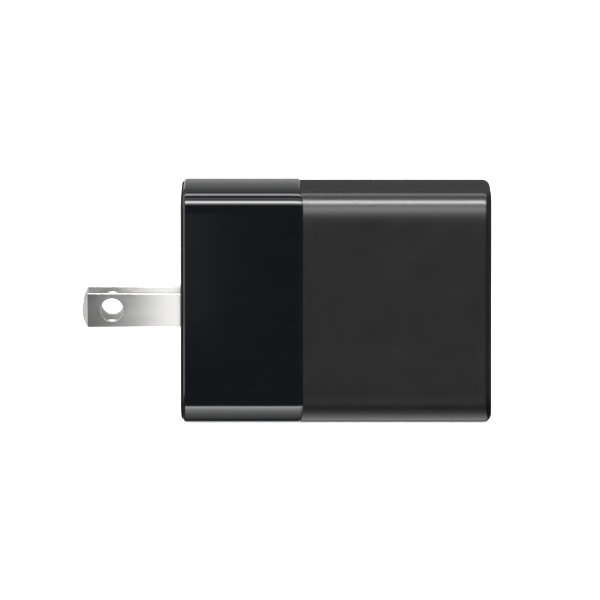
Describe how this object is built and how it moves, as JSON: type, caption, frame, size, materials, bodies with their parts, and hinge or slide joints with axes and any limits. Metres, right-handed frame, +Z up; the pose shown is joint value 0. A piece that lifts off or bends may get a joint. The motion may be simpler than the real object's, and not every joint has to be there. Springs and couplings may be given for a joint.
{
  "type": "usb wall charger",
  "caption": "Slim two-tone wall charger block with folding flat prongs on one end and two ports on the other.",
  "frame": {"origin": "centre of the face plate's outer face, which rests against the wall outlet", "axes": "+X from the wall through the body to the port end, +Y through the thin side, +Z up with the long side of the end face"},
  "size_m": [0.0756, 0.027, 0.043],
  "materials": {
    "gloss_black": "polished black polycarbonate",
    "matte_black": "very finely textured black polycarbonate",
    "plate_black": "dead matte black polycarbonate",
    "nickel": "satin nickel plate on brass",
    "steel": "plain stamped stainless steel",
    "bronze": "spring bronze",
    "carrier_plastic": "glass-filled nylon",
    "insulator_black": "moulded black insulator",
    "board": "green solder mask on glass epoxy",
    "chip": "moulded epoxy",
    "ceramic_white": "white ceramic body",
    "disc_green": "dipped green coating",
    "disc_blue": "dipped blue coating",
    "film_yellow": "yellow moulded case",
    "ferrite": "sintered ferrite",
    "copper": "enamelled copper wire",
    "tape_yellow": "yellow polyester tape over the winding",
    "capacitor_sleeve": "dark shrink sleeve on an aluminium can",
    "aluminium": "plain rolled sheet",
    "lead_black": "black insulated wire",
    "lead_white": "white insulated wire",
    "silicone_grey": "soft grey silicone",
    "film_clear": "milky polyester film"
  },
  "bodies": {
    "housing": {"wall_shell": "gloss_black", "port_shell": "matte_black", "port_panel": "gloss_black", "face_plate": "plate_black", "pivot_pin": "steel", "prong_well": "carrier_plastic", "hinge_cradle": "carrier_plastic", "detent_spring": "bronze", "contact_spring_left": "bronze", "contact_spring_right": "bronze", "mains_lead_left": "lead_black", "mains_lead_right": "lead_white", "main_board": "board", "port_board": "board", "link_header": "insulator_black", "fuse": "ceramic_white", "thermistor": "disc_green", "x_capacitor": "film_yellow", "choke_core": "ferrite", "choke_winding_upper": "copper", "choke_winding_lower": "copper", "bridge_rectifier": "chip", "bulk_capacitor_1": "capacitor_sleeve", "bulk_capacitor_2": "capacitor_sleeve", "power_switch": "chip", "control_chip": "chip", "transformer_core": "ferrite", "transformer_bobbin": "insulator_black", "transformer_winding": "tape_yellow", "y_capacitor": "disc_blue", "optocoupler": "chip", "sync_rectifier": "chip", "output_capacitor_1": "capacitor_sleeve", "output_capacitor_2": "capacitor_sleeve", "output_inductor": "ferrite", "port_controller": "chip", "thermal_pad": "silicone_grey", "heat_spreader_left": "aluminium", "heat_spreader_right": "aluminium", "insulating_film": "film_clear", "usb_c_shell": "steel", "usb_c_insulator": "insulator_black", "usb_a_shell": "steel", "usb_a_insulator": "insulator_black"},
    "prongs": {"prong_carrier": "carrier_plastic", "blade_left": "nickel", "blade_right": "nickel"}
  },
  "joints": [
    {"name": "prong_fold", "type": "hinge", "parent": "housing", "child": "prongs", "pos_m": [0.0033, 0, -0.0012], "axis": [0, 1, 0], "range_deg": [0, 90]}
  ]
}
